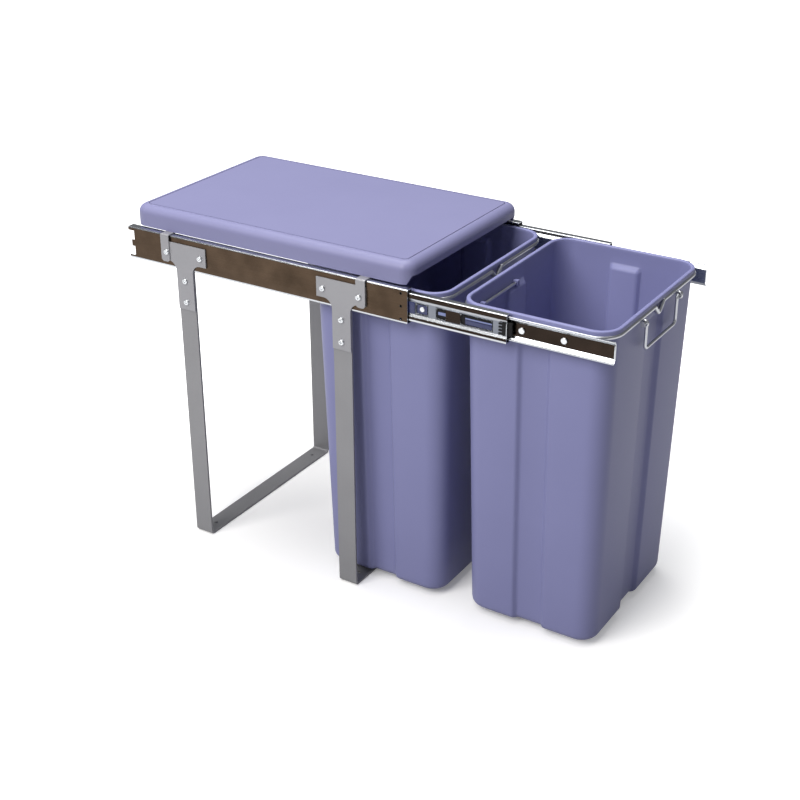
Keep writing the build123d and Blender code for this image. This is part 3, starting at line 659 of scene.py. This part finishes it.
# Each window's start behind the rail's front end, and its length.
windows = {"lever": (0.0202, 0.0432), "stop": (0.083, 0.014), "detent": (0.110, 0.0157)}
window_gap = 0.0004
backing_thickness = 0.0003
window_floor = recess_back - backing_thickness
clear_height = window_height - 2 * window_gap
lever_drop, lever_edge = 0.0007, 0.0001
lever_share, rib_share = 0.85, 0.16
rivet_radius = 0.0033
pad_front, pad_length, pad_height, pad_face = 0.1277, 0.012, 0.015, 0.0032
for side, sign in (("left", -1), ("right", 1)):
    body = f"middle_{side}"
    for use, (window_front, window_length) in windows.items():
        start = middle_front + window_front
        rim = window_rim(f"{use}_window_rim_{side}", sign, start, window_length, window_height)
        finish_piece(rim, body, plated_strip)
        # A thin dark sheet at each window's floor stands for the shade inside the window: painted shade. In
        # the detent window it has the lever's dark blue.
        backing_size = (start + window_gap, window_length - 2 * window_gap, clear_height)
        shade_backing = start_box(
            f"{use}_backing_{side}", *beside_web(sign, window_floor, recess_back, *backing_size)
        )
        finish_piece(shade_backing, body, dark_lever if use == "detent" else nylon)
    lever_front, lever_length = windows["lever"]
    blade_start, blade_length = middle_front + lever_front + window_gap, lever_share * lever_length
    blade_size = (blade_start, blade_length, clear_height / 2, -clear_height / 4)
    blade = start_box(
        f"release_lever_{side}", *beside_web(sign, recess_face + lever_drop, window_floor, *blade_size)
    )
    apply_bevel(blade, lever_edge)
    finish_piece(blade, body, dark_lever)
    rib_size = (blade_start, blade_length, rib_share * clear_height, clear_height / 7)
    rib = start_box(
        f"release_lever_rib_{side}",
        *beside_web(sign, recess_face + lever_drop / 2, window_floor, *rib_size),
    )
    apply_bevel(rib, moulded_edge)
    finish_piece(rib, body, highlit_lever)
    detent_front, detent_length = windows["detent"]
    rivet_front = detent_front + detent_length / 2
    rivet = round_head(f"detent_rivet_{side}", sign, rivet_front, rivet_radius, recess_face, window_floor)
    finish_piece(rivet, body, bright_zinc)
    pad_size = (middle_front + pad_front, pad_length, pad_height)
    pad = start_box(f"catch_pad_{side}", *beside_web(sign, pad_face, recess_face, *pad_size))
    apply_bevel(pad, moulded_edge)
    finish_piece(pad, body, dark_lever)
    stop_front, stop_length = windows["stop"]
    stop_size = (middle_front + stop_front + window_gap, lever_share * stop_length, clear_height / 3)
    stop = start_box(
        f"stop_pin_{side}", *beside_web(sign, recess_face + lever_drop, window_floor, *stop_size)
    )
    apply_bevel(stop, lever_edge)
    finish_piece(stop, body, highlit_lever)


# Bins: injection-moulded polypropylene tubs with a drafted wall, a channel down the middle of
# each wall to stiffen it, and a solid rolled rim that hangs in the wire ring.
def polypropylene(name, colour, deep_colour, roughness):
    """Filled polypropylene: a soft satin, with a fine eroded grain and slow changes of tone."""
    material, tree, end = new_material(name)
    place = add_node(tree, "ShaderNodeTexCoord").outputs["Object"]
    # The grain, too, is drawn coarser than its real 0.2 mm, so that it shows.
    grain_size = 0.0009
    grain = add_node(
        tree, "ShaderNodeTexNoise",
        {"Vector": place, "Scale": 1 / grain_size, "Detail": 3.0, "Roughness": 0.6},
    )
    flow_size = 0.11
    flow = add_node(tree, "ShaderNodeTexNoise", {"Vector": place, "Scale": 1 / flow_size, "Detail": 3.0})
    tone = add_node(
        tree, "ShaderNodeMix",
        {"Factor": flow.outputs["Fac"], "A": linear(deep_colour), "B": linear(colour)}, data_type="RGBA",
    )
    sheen_range = {"To Min": roughness - 0.06, "To Max": roughness + 0.07}
    sheen = add_node(
        tree, "ShaderNodeMapRange",
        {"Value": grain.outputs["Fac"], "From Min": 0.3, "From Max": 0.7, **sheen_range},
    ).outputs["Result"]
    plastic = add_node(
        tree, "ShaderNodeBsdfPrincipled",
        {"Base Color": tone.outputs["Result"], "Roughness": sheen, "Specular IOR Level": 0.4},
    )
    finish_surface(tree, end, plastic, grain.outputs["Fac"], depth=0.00005, strength=0.3)
    return material


bin_plastic = polypropylene("moulded_polypropylene_bin", "#8789B6", "#8183AF", 0.46)
wall = 0.002
rim_depth = 0.0056
rim_overhang = 0.0036
rim_rounding = 0.0018
corner_radius = 0.026
foot_rounding = 0.011
foot_width, foot_length = 0.240, 0.185
channel_depth, channel_slope, channel_rounding = 0.0058, 0.0045, 0.0026
end_channel, side_channel = 0.052, 0.044
channel_top_drop = 0.0226


def cut_channel_lines(centre, channel_top):
    """Cut the lines that bound the channels and their slopes."""
    for sign in (-1, 1):
        for half in (end_channel / 2, end_channel / 2 - channel_slope):
            cut_across((sign * half, centre.y, centre.z), (1, 0, 0))
        for half in (side_channel / 2, side_channel / 2 - channel_slope):
            cut_across((0, centre.y + sign * half, centre.z), (0, 1, 0))
    for height in (channel_top, channel_top - channel_depth):
        cut_across((0, centre.y, height), (0, 0, 1))


def push_in(piece, centre, axis, half_width, low, high, reach):
    """Press a panel of both walls across an axis inward; the cut lines around it become slopes."""
    slack = 0.00005
    for sign in (-1, 1):
        def on_panel(vertex):
            place = vertex.co - centre
            beside = abs(place[1 - axis]) < half_width + slack
            level = low - slack < vertex.co.z < high + slack
            return beside and level and sign * place[axis] > reach - slack

        select_by(piece, "VERT", on_panel)
        shift = [0, 0, 0]
        shift[axis] = -sign * channel_depth
        bpy.ops.transform.translate(value=shift)
        bpy.ops.object.mode_set(mode="OBJECT")


def end_heights(piece, edge):
    """Heights of an edge's two ends, the lower one first."""
    return sorted(piece.data.vertices[number].co.z for number in edge.vertices)


def faces_up(face):
    """True for a face that lies level and looks up."""
    return face.normal.z > 0.9


def bin_shell(place):
    """The shell of one tub, from a box: tapered, opened, rounded, its channels pressed in."""
    low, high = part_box(f"bin_{place}")
    centre = (low + high) / 2
    rim_low = high.z - rim_depth
    top_width = high.x - low.x - 2 * rim_overhang
    top_length = high.y - low.y - 2 * rim_overhang
    foot = Vector((foot_width / 2, foot_length / 2, 0))
    piece = start_box(
        f"bin_{place}_tub", Vector((0, centre.y, low.z)) - foot, Vector((0, centre.y, rim_low)) + foot
    )
    select_by(piece, "VERT", lambda vertex: vertex.co.z > rim_low - wall)
    bpy.ops.transform.resize(
        value=(top_width / foot_width, top_length / foot_length, 1), center_override=(0, centre.y, rim_low)
    )
    select_by(piece, "FACE", faces_up)
    bpy.ops.mesh.delete(type="ONLY_FACE")

    def is_upright(edge):
        lower, upper = end_heights(piece, edge)
        return upper - lower > foot_rounding

    select_by(piece, "EDGE", is_upright)
    bpy.ops.mesh.bevel(offset=corner_radius, segments=9, affect="EDGES")
    select_by(piece, "EDGE", lambda edge: end_heights(piece, edge)[1] < low.z + wall / 2)
    bpy.ops.mesh.bevel(offset=foot_rounding, segments=5, affect="EDGES")
    channel_top = high.z - channel_top_drop
    cut_channel_lines(centre, channel_top)
    end_reach = foot_length / 2 - foot_rounding - wall
    side_reach = foot_width / 2 - foot_rounding - wall
    panel_top = channel_top - channel_depth
    push_in(piece, centre, 1, end_channel / 2 - channel_slope, low.z, panel_top, end_reach)
    push_in(piece, centre, 0, side_channel / 2 - channel_slope, low.z, panel_top, side_reach)
    apply_bevel(piece, channel_rounding, segments=3, angle=24)
    return piece, centre, rim_low


def add_wall_and_rim(piece, centre, rim_low):
    """Thicken the shell inwards, then draw its edge up and out into the solid rim."""
    thick = piece.modifiers.new("moulded_wall", "SOLIDIFY")
    thick.thickness = wall
    thick.offset = -1.0
    bpy.ops.object.modifier_apply(modifier=thick.name)
    select_by(piece, "FACE", lambda face: faces_up(face) and face.center.z > rim_low - wall / 4)
    bpy.ops.mesh.extrude_region_move(TRANSFORM_OT_translate={"value": (0, 0, rim_depth)})

    def on_outer_band(face):
        outward = Vector((face.center.x, face.center.y - centre.y, 0)).dot(face.normal) > 0
        return face.center.z > rim_low + wall / 4 and abs(face.normal.z) < 0.5 and outward

    select_by(piece, "FACE", on_outer_band)
    bpy.ops.mesh.extrude_region_shrink_fatten(
        TRANSFORM_OT_shrink_fatten={"value": rim_overhang, "use_even_offset": True}
    )
    bpy.ops.object.mode_set(mode="OBJECT")
    select_by(piece, "FACE", lambda face: faces_up(face) and face.center.z > rim_low + rim_depth / 2)
    bpy.ops.mesh.region_to_loop()
    bpy.ops.mesh.bevel(offset=rim_rounding, segments=3, affect="EDGES")
    bpy.ops.object.mode_set(mode="OBJECT")


lug_width, lug_height, lug_wall, lug_rounding = 0.006, 0.008, 0.0018, 0.0012
for place in ("front", "rear"):
    tub, tub_centre, rim_low = bin_shell(place)
    add_wall_and_rim(tub, tub_centre, rim_low)
    finish_piece(tub, "drawer", bin_plastic)
    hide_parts(f"bin_{place}")
    lugs = []
    rod_low, rod_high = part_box(f"liner_rod_{place}")
    lug_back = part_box(f"bin_{place}")[1].y - rim_overhang - wall
    for lug_x in (rod_high.x - lug_width, rod_low.x + lug_width):
        lug_low = (lug_x - lug_width / 2, rod_low.y - lug_wall, (rod_low.z + rod_high.z - lug_height) / 2)
        lug_high = (lug_x + lug_width / 2, lug_back, (rod_low.z + rod_high.z + lug_height) / 2)
        lug = start_box("rod_lug", lug_low, lug_high)
        apply_bevel(lug, lug_rounding, segments=3)
        lugs.append(lug)
    finish_piece(join_pieces(f"rod_lugs_{place}", lugs), "drawer", bin_plastic)


# Lid: one injection-moulded polypropylene cover with rounded shoulders and ribs underneath. It
# is screwed down on the four hooks, and its front skirt is raised to clear the bins' rims.
# The lid gets the bins' plastic made greyer: a painted reflection of the light on its top.
lid_plastic_painted_reflection = polypropylene("moulded_polypropylene_lid_painted_reflection", "#8686AC", "#8080A6", 0.42)
edged_copy("lid", "frame", [lid_plastic_painted_reflection], edge=0.00015, smooth_angle=30)


# Rings, liner rods and pull handle: drawn steel wire, bent and butt welded, then zinc plated. The
# rings carry the bins' rims, and the handle hangs in two eyes welded under the front ring.
def plated_wire():
    """Zinc on drawn wire: a soft grey shine, with small random patches that are lighter and duller."""
    material, tree, end = new_material("zinc_plated_wire")
    place = add_node(tree, "ShaderNodeTexCoord").outputs["Object"]
    dull_size = 0.004
    dull = add_node(tree, "ShaderNodeTexNoise", {"Vector": place, "Scale": 1 / dull_size, "Detail": 4.0})
    colour = add_node(
        tree, "ShaderNodeMix",
        {"Factor": dull.outputs["Fac"], "A": linear("#B4B6BB"), "B": linear("#D2D4D8")}, data_type="RGBA",
    )
    sheen = add_node(
        tree, "ShaderNodeMapRange", {"Value": dull.outputs["Fac"], "To Min": 0.26, "To Max": 0.44}
    )
    wire = add_node(
        tree, "ShaderNodeBsdfPrincipled",
        {"Base Color": colour.outputs["Result"], "Roughness": sheen.outputs["Result"], "Metallic": 1.0},
    )
    finish_surface(tree, end, wire, dull.outputs["Fac"], depth=0.00003, strength=0.25)
    return material


wire_zinc = plated_wire()
for node in ("ring_front", "ring_rear", "liner_rod_front", "liner_rod_rear"):
    edged_copy(node, "drawer", [wire_zinc], smooth_angle=50)
edged_copy("pull_handle", "handle", [wire_zinc], smooth_angle=50)
